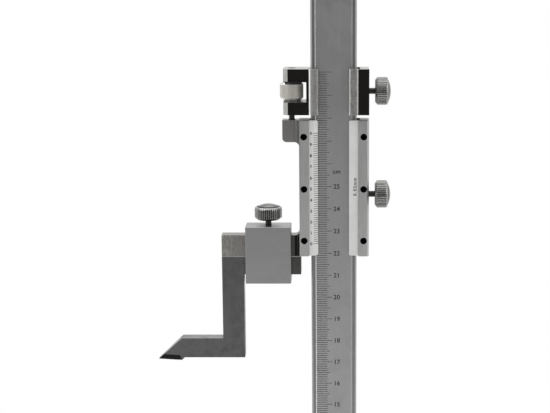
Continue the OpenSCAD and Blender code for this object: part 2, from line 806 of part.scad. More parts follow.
module carrier_body() {
  color("dimgray") difference() {
    translate([0, 0, carrier_z]) linear_extrude(carrier_h) carrier_section();
    // Window for the knurled nut, open on the outer side
    translate([-carrier_left - cut, -carrier_front_y - cut, carrier_mid_z - window_h / 2])
      cube([carrier_left + cut - window_x, carrier_front_y + carrier_back_y + 2 * cut, window_h]);
    translate([rod_x, arm_mid, carrier_z - cut]) cylinder(h = carrier_h + 2 * cut, r = rod_hole_d / 2);
    along_x(right_in - cut, 0, carrier_mid_z, right_wall + 2 * cut, thread_r);
  }
}

module carrier_gib() gib(carrier_z, carrier_top_z);

module adjusting_nut() {
  color("tan") translate([rod_x, arm_mid, carrier_mid_z - nut_h / 2]) difference() {
    intersection() {
      rotate_extrude() polygon([[0, 0], [nut_d / 2 - nut_chamfer_in, 0], [nut_d / 2, nut_chamfer],
        [nut_d / 2, nut_h - nut_chamfer], [nut_d / 2 - nut_chamfer_in, nut_h], [0, nut_h]]);
      translate([0, 0, -cut]) linear_extrude(nut_h + 2 * cut)
        knurl_outline(nut_d / 2, nut_knurl_d, nut_grooves);
    }
    translate([0, 0, -cut]) cylinder(h = nut_h + 2 * cut, r = rod_d / 2 + thread_gap);
  }
}

// Scriber and its clamp

module scriber_clamp_box() {
  color("darkgray") difference() {
    chamfered_block([-box_left, box_front, box_z], [-box_right, box_rear, box_top_z], box_chamfer);
    translate([-box_left - cut, arm_front - seat_gap, box_z + box_floor])
      cube([box_w + 2 * cut, arm_t + 2 * seat_gap, bar_h + arm_h + 3 * seat_gap]);
    translate([-box_mid, arm_mid, box_top_z - box_top - cut]) cylinder(h = box_top + 2 * cut, r = thread_r);
  }
}

// Outline of the carbide insert, in X and Z, with its slanted ends
module carbide_outline() {
  slope = point_l / (foot_h + tip_drop);
  polygon([[-tip_x, tip_z], [carbide_l - tip_x, tip_z],
    [carbide_l - carbide_slant - tip_x, tip_z + carbide_h], [carbide_h * slope - tip_x, tip_z + carbide_h]]);
}

// Two cuts that narrow the point towards the tip, seen from above
module tip_sides() {
  spare = (arm_t - tip_w) / 2;
  height = foot_top_z - tip_z + 2 * cut;
  for (side = [0, 1]) translate([0, arm_mid, tip_z - cut]) mirror([0, side, 0]) linear_extrude(height)
    polygon([[-tip_x - cut, tip_w / 2 - spare * cut / tip_taper], [tip_taper - tip_x, arm_t / 2],
      [tip_taper - tip_x, arm_t], [-tip_x - cut, arm_t]]);
}

module scriber() {
  color("gray") difference() {
    plate_xz(arm_front, slider_rear) difference() {
      union() {
        span(-leg_left, bar_top_z - bar_h, bar_l - leg_left, bar_top_z);
        span(-leg_left, foot_z, leg_w - leg_left, bar_top_z);
        polygon([[leg_w - leg_left, foot_z], [leg_w - leg_left, foot_top_z], [-point_x, foot_top_z],
          [-tip_x, tip_z], [carbide_l - tip_x, tip_z], [carbide_l + tip_drop - tip_x, foot_z]]);
      }
      carbide_outline();
    }
    tip_sides();
  }
}

module carbide_tip() {
  color("black") difference() {
    plate_xz(arm_front, slider_rear) carbide_outline();
    tip_sides();
  }
}

base_casting();
beam();
beam_screws();
beam_stop_screw();
slider_frame();
vernier_plate();
right_face_plate();
vernier_plate_screws();
right_plate_screws();
slider_gib();
adjusting_rod();
slider_clamp_pad();
slider_clamp_stud();
slider_clamp_knob();
carrier_body();
carrier_gib();
carrier_clamp_pad();
carrier_clamp_stud();
carrier_clamp_knob();
adjusting_nut();
scriber_clamp_box();
box_clamp_pad();
box_clamp_stud();
box_clamp_knob();
scriber();
carbide_tip();
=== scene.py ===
# %% [markdown]
# # A vernier height gauge
#
# A height gauge stands on a flat plate and measures or scribes heights. Its beam carries a millimetre scale, a
# slider with a vernier runs up and down the beam, and a hardened scriber points out to the left. The construction
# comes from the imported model. This script gives every piece its finish and adds what is too fine for the
# construction: the screw threads, the numerals and the way that ground, plated and blackened steel looks. Places
# and sizes on the gauge are in millimetres, and those of the floor and the lamps in metres.

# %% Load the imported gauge
import math

import bpy
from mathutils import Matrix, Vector


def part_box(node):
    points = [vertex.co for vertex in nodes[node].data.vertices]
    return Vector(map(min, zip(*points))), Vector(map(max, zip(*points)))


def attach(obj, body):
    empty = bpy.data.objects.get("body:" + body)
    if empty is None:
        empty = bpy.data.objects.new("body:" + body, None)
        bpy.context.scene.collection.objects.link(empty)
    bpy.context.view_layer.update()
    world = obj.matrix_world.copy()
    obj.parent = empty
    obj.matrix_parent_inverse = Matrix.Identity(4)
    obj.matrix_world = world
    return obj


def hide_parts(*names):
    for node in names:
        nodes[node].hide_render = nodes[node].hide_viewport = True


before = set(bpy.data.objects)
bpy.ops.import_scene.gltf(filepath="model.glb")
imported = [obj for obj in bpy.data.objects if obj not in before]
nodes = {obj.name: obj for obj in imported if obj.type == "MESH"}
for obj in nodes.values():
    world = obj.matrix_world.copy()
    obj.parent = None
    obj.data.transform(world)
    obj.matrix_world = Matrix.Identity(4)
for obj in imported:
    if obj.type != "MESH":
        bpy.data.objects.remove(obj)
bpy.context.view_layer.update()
MM = 0.001
print("pieces in the model:", len(nodes))

# %% [markdown]
# ## The camera
#
# The photograph shows the upper half of the gauge from straight in front and a little above. The centimetre lines
# of the scale are evenly spaced on the real beam, so the way they crowd together down the picture gives the focal
# length, the height and the tilt of the camera. The picture is a crop of a wider frame, which a small sideways
# shift of the lens stands for.

# %% Place the camera
PICTURE_W = 550
FOCAL_PX = 1294.4
AXIS_PX = 345.0
SENSOR_W = 36
camera_place = Vector((4.9, -561.4, 399.4)) * MM
camera_tilt = math.radians(10.6)

bpy.ops.object.camera_add(location=camera_place, rotation=(math.pi / 2 - camera_tilt, 0, 0))
camera = bpy.context.object
camera.data.sensor_width = SENSOR_W
camera.data.lens = FOCAL_PX / PICTURE_W * SENSOR_W
camera.data.shift_x = (PICTURE_W / 2 - AXIS_PX) / PICTURE_W
bpy.context.scene.camera = camera
bpy.context.scene.view_settings.view_transform = "Standard"
print("lens in mm:", round(camera.data.lens, 1))

# %% [markdown]
# ## Shader nodes in few words
#
# Every finish below is a small network of shader nodes. A few helpers keep the networks short enough to read: one
# adds a node and wires its inputs, one does arithmetic on values, and the others mark a place on the gauge or blend
# two colours. Where a constant further down is a pair, it holds the two values between which something changes.

# %% Helpers for shader nodes
def add(tree, kind, inputs=None, **settings):
    """Adds a shader node. Each input is a plain value, or the output of another node."""
    made = tree.nodes.new("ShaderNode" + kind)
    for name, value in settings.items():
        setattr(made, name, value)
    for name, value in (inputs or {}).items():
        if isinstance(value, bpy.types.NodeSocket):
            tree.links.new(value, made.inputs[name])
        else:
            made.inputs[name].default_value = value
    return made


def calc(tree, operation, *values):
    """The result of a Math node on one, two or three values."""
    return add(tree, "Math", dict(enumerate(values)), operation=operation).outputs[0]


def both(tree, *masks):
    """The product of several masks: 1 only where all of them are 1."""
    result = masks[0]
    for mask in masks[1:]:
        result = calc(tree, "MULTIPLY", result, mask)
    return result


def ramp(tree, value, low, high, at_low=0.0, at_high=1.0):
    """A value that goes smoothly from at_low to at_high while the input goes from low to high."""
    inputs = {"Value": value, "From Min": low, "From Max": high, "To Min": at_low, "To Max": at_high}
    return add(tree, "MapRange", inputs, interpolation_type="SMOOTHSTEP").outputs["Result"]


def between(tree, value, low, high, soft=0.02):
    """1 where the value lies between low and high, with soft ends."""
    return both(tree, ramp(tree, value, low - soft, low + soft), ramp(tree, value, high + soft, high - soft))


def blend(tree, share, first, second):
    """Colour that goes from the first to the second as the share goes from 0 to 1."""
    made = add(tree, "Mix", {"Factor": share}, data_type="RGBA")
    for place, colour in ((6, first), (7, second)):
        if isinstance(colour, bpy.types.NodeSocket):
            tree.links.new(colour, made.inputs[place])
        else:
            made.inputs[place].default_value = (*colour[:3], 1)
    return made.outputs[2]


def xyz_mm(tree):
    """The object's own coordinates in millimetres, as three separate values."""
    coordinates = add(tree, "TexCoord").outputs["Object"]
    scaled = add(tree, "VectorMath", {0: coordinates, "Scale": 1 / MM}, operation="SCALE").outputs[0]
    return add(tree, "SeparateXYZ", {0: scaled}).outputs[:3]


def normal_xyz(tree):
    """The direction that the surface faces, as three separate values."""
    return add(tree, "SeparateXYZ", {0: add(tree, "NewGeometry").outputs["True Normal"]}).outputs[:3]


def faces_front(tree):
    """1 where the surface faces the front of the gauge, within 60 degrees."""
    return calc(tree, "LESS_THAN", normal_xyz(tree)[1], -0.5)


# %% [markdown]
# ## Room, floor and light
#
# The photograph is a product shot on white. The floor is a pale disc that fades into white, and the world is white
# where the camera looks. Metal shows what stands around it. The sweep behind and beside the gauge is white and the
# room behind the camera is dark, which gives flat faces their mid grey and every rounded edge its light line.

# %% World
WHITE = (1, 1, 1)
ROOM_LOW = (0.2, 0.2, 0.205)
ROOM_HIGH = (0.62, 0.62, 0.62)
ROOM_RISE = (-0.1, 0.75)
SWEEP_START = (-0.45, 0.15)

world = bpy.data.worlds.new("studio")
bpy.context.scene.world = world
world.use_nodes = True
tree = world.node_tree
tree.nodes.clear()
direction = add(tree, "SeparateXYZ", {0: add(tree, "TexCoord").outputs["Generated"]})
room = blend(tree, ramp(tree, direction.outputs["Z"], *ROOM_RISE), ROOM_LOW, ROOM_HIGH)
rays = add(tree, "LightPath").outputs
sweep = ramp(tree, direction.outputs["Y"], *SWEEP_START)
reflected = calc(tree, "ADD", rays["Is Glossy Ray"], rays["Is Transmission Ray"])
seen = calc(tree, "MAXIMUM", rays["Is Camera Ray"], calc(tree, "MULTIPLY", reflected, sweep))
background = add(tree, "Background", {"Color": blend(tree, seen, room, WHITE), "Strength": 1.0})
add(tree, "OutputWorld", {"Surface": background.outputs[0]})
print("dark room behind the camera:", ROOM_LOW)

# %% Floor
FLOOR_R = 1.3
FLOOR_SIDES = 96
FLOOR_PALE = (0.86, 0.86, 0.86)
FLOOR_FADE = (0.22, 0.55)

bpy.ops.object.select_all(action="DESELECT")
bpy.ops.mesh.primitive_circle_add(vertices=FLOOR_SIDES, radius=FLOOR_R, fill_type="NGON")
floor = bpy.context.object
floor.name = "floor"
paper = bpy.data.materials.new("paper_floor")
paper.use_nodes = True
tree = paper.node_tree
tree.nodes.clear()
spread = add(tree, "VectorMath", {0: add(tree, "TexCoord").outputs["Object"]}, operation="LENGTH")
edge = ramp(tree, spread.outputs["Value"], *FLOOR_FADE)
rays = add(tree, "LightPath").outputs
reflected = calc(tree, "ADD", rays["Is Glossy Ray"], rays["Is Transmission Ray"])
seen = calc(tree, "ADD", rays["Is Camera Ray"], reflected)
sheet = add(tree, "BsdfDiffuse", {"Color": (*FLOOR_PALE, 1)})
white = add(tree, "Emission", {"Color": (*WHITE, 1)})
share = calc(tree, "MULTIPLY", edge, calc(tree, "MINIMUM", seen, 1.0))
mixed = add(tree, "MixShader", {0: share, 1: sheet.outputs[0], 2: white.outputs[0]})
add(tree, "OutputMaterial", {"Surface": mixed.outputs[0]})
floor.data.materials.append(paper)
print("floor radius in m:", FLOOR_R)

# %% Lamps
GAUGE_MIDDLE = Vector((0, 0, 0.2))


def soft_lamp(name, place, size, watts):
    """A rectangular lamp that looks at the middle of the gauge."""
    bpy.ops.object.light_add(type="AREA", location=place)
    lamp = bpy.context.object
    lamp.name = name
    lamp.data.shape = "RECTANGLE"
    lamp.data.size, lamp.data.size_y = size
    lamp.data.energy = watts
    lamp.rotation_euler = (GAUGE_MIDDLE - Vector(place)).to_track_quat("-Z", "Y").to_euler()
    print(name, "at", place, "with", watts, "W")


soft_lamp("lamp_overhead", (-0.1, 0.1, 1.5), size=(2.2, 1.8), watts=11)
soft_lamp("lamp_left", (-1.2, -0.9, 0.9), size=(1.2, 1.5), watts=11)
soft_lamp("lamp_right", (1.2, -0.8, 0.9), size=(1.2, 1.5), watts=9.2)

# %% [markdown]
# ## Effects that several finishes share
#
# Ground steel has fine parallel scratches, machined edges are rounded and get a painted highlight, hands leave faint
# marks, and the corners where two pieces meet get painted shade. Each of these is one node group with its own
# inputs, so that every metal below can use it with its own values.


# %% Node groups
def effect_group(name, inputs, outputs):
    """A new node group with its inputs (name: default) and outputs (name: kind). Returns the group, the sockets that
    bring its inputs in and the sockets that take its outputs."""
    group = bpy.data.node_groups.new(name, "ShaderNodeTree")
    for label, default in inputs.items():
        kind = "NodeSocketVector" if isinstance(default, tuple) else "NodeSocketFloat"
        socket = group.interface.new_socket(label, in_out="INPUT", socket_type=kind)
        socket.default_value = default
    for label, kind in outputs.items():
        group.interface.new_socket(label, in_out="OUTPUT", socket_type="NodeSocket" + kind)
    return group, group.nodes.new("NodeGroupInput").outputs, group.nodes.new("NodeGroupOutput").inputs


def use_group(tree, group, **inputs):
    """Places a node group in a material and returns its outputs."""
    placed = tree.nodes.new("ShaderNodeGroup")
    placed.node_tree = group
    for label, value in inputs.items():
        placed.inputs[label].default_value = value
    return placed.outputs


# %% Grain, edges, marks and painted recess shade
FINE_SHARE = 0.6
BROAD_SCALE = 0.23
STREAK_CUT = (0.3, 0.7)
EDGE_R = 0.12
EDGE_BEND = (0.995, 0.85)
SMUDGE_CUT = (0.42, 0.66)
CLOSED_SKY = (0.85, 0.1)

# Fine parallel scratches: a large stretch value packs the noise closely along that axis
GRAIN, given, out = effect_group("ground_grain", {"Stretch": (1.0, 1.0, 1.0)},
                                 {"Height": "Float", "Streaks": "Float"})
coordinates = add(GRAIN, "TexCoord").outputs["Object"]
finer = add(GRAIN, "VectorMath", {0: coordinates, 1: given["Stretch"]}, operation="MULTIPLY").outputs[0]
fine = add(GRAIN, "TexNoise", {"Vector": finer, "Scale": 1 / MM, "Detail": 3.0}).outputs[0]
broad = add(GRAIN, "TexNoise", {"Vector": finer, "Scale": BROAD_SCALE / MM, "Detail": 2.0}).outputs[0]
GRAIN.links.new(fine, out["Height"])
mixed = calc(GRAIN, "ADD", calc(GRAIN, "MULTIPLY", fine, FINE_SHARE),
             calc(GRAIN, "MULTIPLY", broad, 1 - FINE_SHARE))
GRAIN.links.new(ramp(GRAIN, mixed, *STREAK_CUT), out["Streaks"])

# Machined edges: the normal is rounded over a small radius, and the mask shows where that turns it, for a painted
# highlight
EDGES, given, out = effect_group("machined_edges", {"Radius": EDGE_R * MM}, {"Edge": "Float", "Normal": "Vector"})
rounded = add(EDGES, "Bevel", {"Radius": given["Radius"]}, samples=6).outputs[0]
flat = add(EDGES, "NewGeometry").outputs["Normal"]
turned = add(EDGES, "VectorMath", {0: rounded, 1: flat}, operation="DOT_PRODUCT").outputs["Value"]
EDGES.links.new(ramp(EDGES, turned, *EDGE_BEND), out["Edge"])
EDGES.links.new(rounded, out["Normal"])

# Handling: broad smudges of a given size in millimetres
MARKS, given, out = effect_group("handling_marks", {"Size": 6.0}, {"Smudge": "Float"})
scale = calc(MARKS, "DIVIDE", 1 / MM, given["Size"])
cloud = add(MARKS, "TexNoise", {"Vector": add(MARKS, "TexCoord").outputs["Object"], "Scale": scale, "Detail": 4.0})
MARKS.links.new(ramp(MARKS, cloud.outputs[0], *SMUDGE_CUT), out["Smudge"])

# Painted shade in the corners, where nearby surfaces close off the sky
OCCLUSION_SHADE, given, out = effect_group("recess_shade", {"Reach": 3.0 * MM}, {"Recess": "Float"})
open_sky = add(OCCLUSION_SHADE, "AmbientOcclusion", {"Distance": given["Reach"]}, samples=8).outputs["AO"]
OCCLUSION_SHADE.links.new(ramp(OCCLUSION_SHADE, open_sky, *CLOSED_SKY), out["Recess"])
print("shared effects:", [group.name for group in (GRAIN, EDGES, MARKS, OCCLUSION_SHADE)])

# %% [markdown]
# ## The steel finishes
#
# All the bright parts are steel: ground, satin chromed, nickel plated or blackened. They differ in their colour,
# in how sharply they reflect and in the direction of their grain, so one recipe makes them all.

# %% Recipe for a metal
def metal(name, colour, rough, grain=(3, 3, 0.15), depth=0.004, streak=0.12, edge=1.35, smudge=0.05, marks=7.0,
          hollow_shade=0.4, reach=3.0, metallic=1.0, paint=None):
    """A metal finish. rough is its roughness, grain how closely its scratches lie along X, Y and Z, and depth how
    deep they are in mm. streak is how much they vary the colour (and a third of it the roughness), edge how much
    brighter the edges are painted, a painted highlight, smudge how much handling dulls it in patches of marks mm,
    and hollow_shade how dark the last reach mm of a corner are painted, a painted shade. paint may change colour and
    roughness by place, and returns both."""
    material = bpy.data.materials.new(name)
    material.use_nodes = True
    tree = material.node_tree
    shader = tree.nodes["Principled BSDF"]
    shader.inputs["Metallic"].default_value = metallic
    streaks = use_group(tree, GRAIN, Stretch=grain)
    edges = use_group(tree, EDGES, Radius=EDGE_R * MM)
    handled = use_group(tree, MARKS, Size=marks)
    occluded = use_group(tree, OCCLUSION_SHADE, Reach=reach * MM)
    base, dull = colour, rough
    if paint:
        base, dull = paint(tree, base, dull)
    light = calc(tree, "ADD", 1 - streak / 2, calc(tree, "MULTIPLY", streaks["Streaks"], streak))
    light = calc(tree, "SUBTRACT", light, calc(tree, "MULTIPLY", handled["Smudge"], smudge))
    # Painted highlight: the colour is brighter along the edges
    light = calc(tree, "MULTIPLY", light, ramp(tree, edges["Edge"], 0, 1, at_low=1.0, at_high=edge))
    # Painted shade: the colour is darker in corners and recesses
    light = calc(tree, "MULTIPLY", light, ramp(tree, occluded["Recess"], 0, 1, at_low=1.0, at_high=1 - hollow_shade))
    shade = add(tree, "VectorMath", {"Scale": light}, operation="SCALE")
    if isinstance(base, bpy.types.NodeSocket):
        tree.links.new(base, shade.inputs[0])
    else:
        shade.inputs[0].default_value = base
    tree.links.new(shade.outputs[0], shader.inputs["Base Color"])
    dulled = calc(tree, "ADD", dull, calc(tree, "MULTIPLY", handled["Smudge"], smudge))
    dulled = calc(tree, "ADD", dulled, calc(tree, "MULTIPLY", streaks["Streaks"], streak / 3))
    tree.links.new(dulled, shader.inputs["Roughness"])
    bump = add(tree, "Bump", {"Height": streaks["Height"], "Normal": edges["Normal"], "Distance": depth * MM})
    tree.links.new(bump.outputs[0], shader.inputs["Normal"])
    return material


def finish(material, *names):
    """Gives a material to nodes of the model."""
    for name in names:
        nodes[name].data.materials.clear()
        nodes[name].data.materials.append(material)
    print(material.name, "on", ", ".join(names))


# %% [markdown]
# ## Beam
#
# The scale face is satin chrome, so that its lines can be read without glare. The two rails beside it stand 0.2 mm
# proud, and their colour is darker, a painted dark reflection of the room in front. Their inner edges and their
# chamfered outer edges get painted highlights, light lines in the colour. The graduations are real grooves in the
# model, and their bottoms are filled with black paint.

# %% Beam
SCALE_HALF_W = 7.85
SCALE_FACE_Y = -2.3
LEFT_EDGE_HIGHLIGHT_X = (SCALE_HALF_W - 0.05, SCALE_HALF_W + 0.25)
RIGHT_EDGE_HIGHLIGHT_X = (SCALE_HALF_W - 0.4, SCALE_HALF_W + 0.3)
LINES_HALF_W = SCALE_HALF_W - 0.05
LINE_PAINT_Y = (SCALE_FACE_Y + 0.03, SCALE_FACE_Y + 0.15)
PAINT_SOFT = 0.01
PAINT_ROUGH = 0.6
RAIL_X = (SCALE_HALF_W - 0.02, SCALE_HALF_W + 0.02)
CHAMFER_X = (9.3, 9.4)
BEAM_GREY = (0.36, 0.36, 0.36)
RAIL_REFLECTION_GREY = (0.225, 0.225, 0.224)
CHAMFER_HIGHLIGHT = (0.4, 0.4, 0.398)
LEFT_EDGE_HIGHLIGHT = (0.9, 0.9, 0.885)
RIGHT_EDGE_HIGHLIGHT = (0.45, 0.45, 0.445)
PAINT_BLACK = (0.012, 0.012, 0.012)


def beam_paint(tree, base, dull):
    """Rails with a painted dark reflection and painted highlight lines on their edges, beside a satin scale face,
    and black paint in the engraved lines.
    """
    x, y = xyz_mm(tree)[:2]
    aside = calc(tree, "ABSOLUTE", x)
    front = calc(tree, "LESS_THAN", y, 0.0)
    rail = both(tree, front, ramp(tree, aside, *RAIL_X))
    left = calc(tree, "LESS_THAN", x, 0.0)
    left_sheen = both(tree, front, left, between(tree, aside, *LEFT_EDGE_HIGHLIGHT_X, soft=0.03))
    right_sheen = both(tree, front, between(tree, x, *RIGHT_EDGE_HIGHLIGHT_X, soft=0.05))
    face = calc(tree, "LESS_THAN", aside, LINES_HALF_W)
    painted = both(tree, between(tree, y, *LINE_PAINT_Y, soft=PAINT_SOFT), face)
    # Painted dark reflection on the rails, then painted highlights on the chamfers and on the inner edges of the
    # rails
    colour = blend(tree, rail, base, RAIL_REFLECTION_GREY)
    colour = blend(tree, ramp(tree, aside, *CHAMFER_X), colour, CHAMFER_HIGHLIGHT)
    colour = blend(tree, left_sheen, colour, LEFT_EDGE_HIGHLIGHT)
    colour = blend(tree, right_sheen, colour, RIGHT_EDGE_HIGHLIGHT)
    colour = blend(tree, painted, colour, PAINT_BLACK)
    return colour, calc(tree, "MAXIMUM", calc(tree, "MULTIPLY", painted, PAINT_ROUGH), dull)


finish(metal("beam_steel", BEAM_GREY, rough=0.4, grain=(4, 4, 0.1), depth=0.002, streak=0.06, hollow_shade=0.6, reach=1.5,
             paint=beam_paint), "beam")

# %% [markdown]
# ## Slider and its plates
#
# The channel is ground and satin chromed. Its arm and lug are ground only, which is darker and a little warmer, and
# the short piece of arm between the channel and the clamp box has painted shade, black in a band near the channel.
# The two plates have the matt, almost white chrome that verniers get, with black paint in the engraved lines.

# %% Slider
SLIDER_LEFT = -15.05
PLATING_SOFT = 0.25
BOX_RIGHT = -18.95
BOX_GAP = 0.6
ARM_LOW_Z = 272.0
ARM_TOP_Z = 290.0
ARM_EDGE_Z = (ARM_LOW_Z - 0.1, ARM_LOW_Z + 0.3)
ARM_RUBBED_X = (-42.0, -47.0)
ARM_DEEP_SHADE_X = (-17.3, -16.2)
ARM_CORNER_X = (-16.9, SLIDER_LEFT)
SCRATCH_STRETCH = (2.4, 2.4, 0.45)
SCRATCH_CUT = (0.42, 0.66)
RUST_SCALE = 0.25
RUST_CUT = (0.45, 0.7)
CORNER_SHADE = 0.7
GROUND_SHINE = 0.06
SHADE_ROUGH = 0.9
CHANNEL_GREY = (0.47, 0.47, 0.464)
ARM_GREY = (0.245, 0.237, 0.226)
LUG_GREY = (0.31, 0.302, 0.29)
ARM_WORN = (0.42, 0.405, 0.385)
ARM_WARM = (0.21, 0.185, 0.165)
SLIDER_SHADE = (0.085, 0.083, 0.077)
SHADE_BLACK = (0.012, 0.011, 0.01)
BEAM_EDGE_X = 10.0
SLOT_END_X = 11.45
SLIDER_SLOT_HALF_Y = 2.6


def gib_slot(tree, x, y, half_y):
    """1 on the walls of the slot beside the beam that holds a gib, which get black painted shade."""
    inside = calc(tree, "LESS_THAN", calc(tree, "ABSOLUTE", y), half_y)
    return both(tree, inside, between(tree, x, BEAM_EDGE_X, SLOT_END_X))


def slider_paint(tree, base, dull):
    """The arm and the lug are darker than the plated channel. The arm has painted shade beside the clamp box, and
    the lug in the corner above it, its lower edge is worn, and its free end is scratched where the box was pushed
    on."""
    x, y, z = xyz_mm(tree)
    outside = ramp(tree, x, SLIDER_LEFT, SLIDER_LEFT - PLATING_SOFT)
    forward = faces_front(tree)
    arm = both(tree, outside, calc(tree, "LESS_THAN", z, ARM_TOP_Z))
    colour = blend(tree, outside, base, LUG_GREY)
    colour = blend(tree, arm, colour, ARM_GREY)
    upright = add(tree, "VectorMath", {0: add(tree, "TexCoord").outputs["Object"], 1: SCRATCH_STRETCH},
                  operation="MULTIPLY").outputs[0]
    rubs = add(tree, "TexNoise", {"Vector": upright, "Scale": 1 / MM, "Detail": 5.0, "Distortion": 0.35}).outputs[0]
    scratched = both(tree, arm, ramp(tree, x, *ARM_RUBBED_X, at_low=0.25), ramp(tree, rubs, *SCRATCH_CUT))
    colour = blend(tree, scratched, colour, ARM_WORN)
    rusty = add(tree, "TexNoise", {"Vector": upright, "Scale": RUST_SCALE / MM, "Detail": 2.0}).outputs[0]
    colour = blend(tree, both(tree, arm, ramp(tree, rusty, *RUST_CUT, at_high=0.6)), colour, ARM_WARM)
    # Painted shade in the lug's corner next to the channel, and on the arm beside the clamp box, black in a band
    above = calc(tree, "GREATER_THAN", z, ARM_TOP_Z)
    corner = both(tree, forward, above, between(tree, x, *ARM_CORNER_X, soft=0.7))
    colour = blend(tree, calc(tree, "MULTIPLY", corner, CORNER_SHADE), colour, SLIDER_SHADE)
    box_side_shade = both(tree, arm, forward, ramp(tree, x, BOX_RIGHT - BOX_GAP, BOX_RIGHT))
    colour = blend(tree, box_side_shade, colour, SLIDER_SHADE)
    colour = blend(tree, both(tree, box_side_shade, between(tree, x, *ARM_DEEP_SHADE_X, soft=0.35)), colour, SHADE_BLACK)
    lower_edge = both(tree, arm, forward, between(tree, z, *ARM_EDGE_Z, soft=0.08))
    colour = blend(tree, lower_edge, colour, ARM_WORN)
    # Painted shade: the walls of the gib's slot are black
    slot = gib_slot(tree, x, y, SLIDER_SLOT_HALF_Y)
    rough = calc(tree, "SUBTRACT", dull, calc(tree, "MULTIPLY", outside, GROUND_SHINE))
    rough = calc(tree, "MAXIMUM", rough, calc(tree, "MULTIPLY", slot, SHADE_ROUGH))
    return blend(tree, slot, colour, SHADE_BLACK), rough


finish(metal("slider_steel", CHANNEL_GREY, rough=0.36, paint=slider_paint), "slider_frame")

# %% Face plates
PLATE_Y = -3.9
EDGE_Y = -2.8
EDGE_X = -6.9
BEVEL_X = -8.65
LINES_X = (-9.3, EDGE_X + 0.2)
LINE_PAINT_DEPTH = (0.03, 0.12)
LINE_DULL = 0.1
PLATE_WHITE = (0.66, 0.66, 0.648)


def plate_paint(tree, base, dull):
    """Black paint in the vernier's lines, wherever the surface lies a little below the flat or the bevel."""
    x, y = xyz_mm(tree)[:2]
    slope = (EDGE_Y - PLATE_Y) / (EDGE_X - BEVEL_X)
    bevel = calc(tree, "MULTIPLY_ADD", calc(tree, "SUBTRACT", x, BEVEL_X), slope, PLATE_Y)
    depth = calc(tree, "SUBTRACT", y, calc(tree, "MAXIMUM", bevel, PLATE_Y))
    lines = both(tree, between(tree, x, *LINES_X), between(tree, depth, *LINE_PAINT_DEPTH, soft=PAINT_SOFT))
    painted = both(tree, lines, faces_front(tree))
    rough = calc(tree, "ADD", dull, calc(tree, "MULTIPLY", painted, LINE_DULL))
    return blend(tree, painted, base, PAINT_BLACK), rough


finish(metal("plate_chrome", PLATE_WHITE, rough=0.5, grain=(2, 2, 2), depth=0.001, streak=0.03, edge=1.1,
             metallic=0.4, hollow_shade=0.5, reach=1.0, paint=plate_paint), "vernier_plate", "right_face_plate")

# %% [markdown]
# ## Screws, gibs, pads, knobs and nut
#
# The small screws are black oxide and the gibs and pads are bronze, which wears before the steel does. The knobs
# and the adjusting nut are nickel plated over a straight knurl, and the grooves of the knobs get black painted
# shade.

# %% Small parts
OXIDE_BLACK = (0.004, 0.004, 0.004)
BRONZE = (0.42, 0.27, 0.12)

finish(metal("black_oxide", OXIDE_BLACK, rough=0.5, grain=(1, 1, 1), streak=0.1, edge=2.5, hollow_shade=0.8, reach=1.5),
       "beam_screws", "beam_stop_screw", "vernier_plate_screws", "right_plate_screws")
finish(metal("gib_bronze", BRONZE, rough=0.32), "slider_gib", "carrier_gib", "slider_clamp_pad", "carrier_clamp_pad",
       "box_clamp_pad")

# %% Knobs
KNURL_R = (5.25, 5.82)
RIM_R = (4.2, 5.0)
KNOB_GREY = (0.33, 0.327, 0.318)
SHOULDER_HIGHLIGHT = (0.38, 0.377, 0.367)
DOME_DARK_REFLECTION = (0.17, 0.168, 0.163)
GROOVE_DULL = 0.2

# How far a surface faces along the knob's axis: 0 on its side, 1 on its end
SIDE_LEVEL = 0.3
SHOULDER_LEVEL = (0.1, 0.4)
DOME_LEVEL = (0.4, 0.8)
RIM_LEVEL = (0.1, 0.5)


def knob_nickel(name, node, along):
    """Nickel with a painted dark reflection on the dome, a painted highlight on the shoulder, and black painted
    shade in the grooves of the knurl and round the foot of the dome. The rings lie round the knob's own axis (0 for
    X, 2 for Z)."""
    low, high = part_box(node)
    middle = [(a + b) / 2 / MM for a, b in zip(low, high)]

    def paint(tree, base, dull):
        """Painted shade wherever the side lies below the top of the knurl and where the dome meets the shoulder, a
        painted highlight on the shoulder and a painted dark reflection on the dome.
        """
        place = xyz_mm(tree)
        first, second = (calc(tree, "SUBTRACT", place[i], middle[i]) for i in range(3) if i != along)
        radius = calc(tree, "SQRT", calc(tree, "ADD", both(tree, first, first), both(tree, second, second)))
        level = calc(tree, "ABSOLUTE", normal_xyz(tree)[along])
        groove = both(tree, between(tree, radius, *KNURL_R, soft=0.06), calc(tree, "LESS_THAN", level, SIDE_LEVEL))
        shoulder = both(tree, calc(tree, "GREATER_THAN", radius, RIM_R[1]), ramp(tree, level, *SHOULDER_LEVEL))
        rim = both(tree, between(tree, radius, *RIM_R, soft=0.15),
                   ramp(tree, level, *RIM_LEVEL, at_low=1.0, at_high=0.85))
        # Painted dark reflection on the dome and painted highlight on the shoulder, by the way the surface faces;
        # black painted shade at the rim and in the grooves
        colour = blend(tree, ramp(tree, level, *DOME_LEVEL), base, DOME_DARK_REFLECTION)
        colour = blend(tree, shoulder, colour, SHOULDER_HIGHLIGHT)
        colour = blend(tree, rim, colour, SHADE_BLACK)
        rough = calc(tree, "ADD", dull, calc(tree, "MULTIPLY", groove, GROOVE_DULL))
        return blend(tree, groove, colour, SHADE_BLACK), rough

    finish(metal(name, KNOB_GREY, rough=0.15, grain=(1, 1, 1), depth=0.001, streak=0.08, edge=1.4, hollow_shade=0.85,
                 reach=0.8, paint=paint), node)


knob_nickel("slider_knob_nickel", "slider_clamp_knob", 0)
knob_nickel("carrier_knob_nickel", "carrier_clamp_knob", 0)
knob_nickel("box_knob_nickel", "box_clamp_knob", 2)

# %% Adjusting nut
NUT_MID_Z = 345.385
NUT_RIM = 2.55
RIM_SOFT = 0.1
NUT_SHINE = 0.22
NUT_SATIN = (0.53, 0.51, 0.467)
POLISHED_HIGHLIGHT = (0.8, 0.795, 0.775)


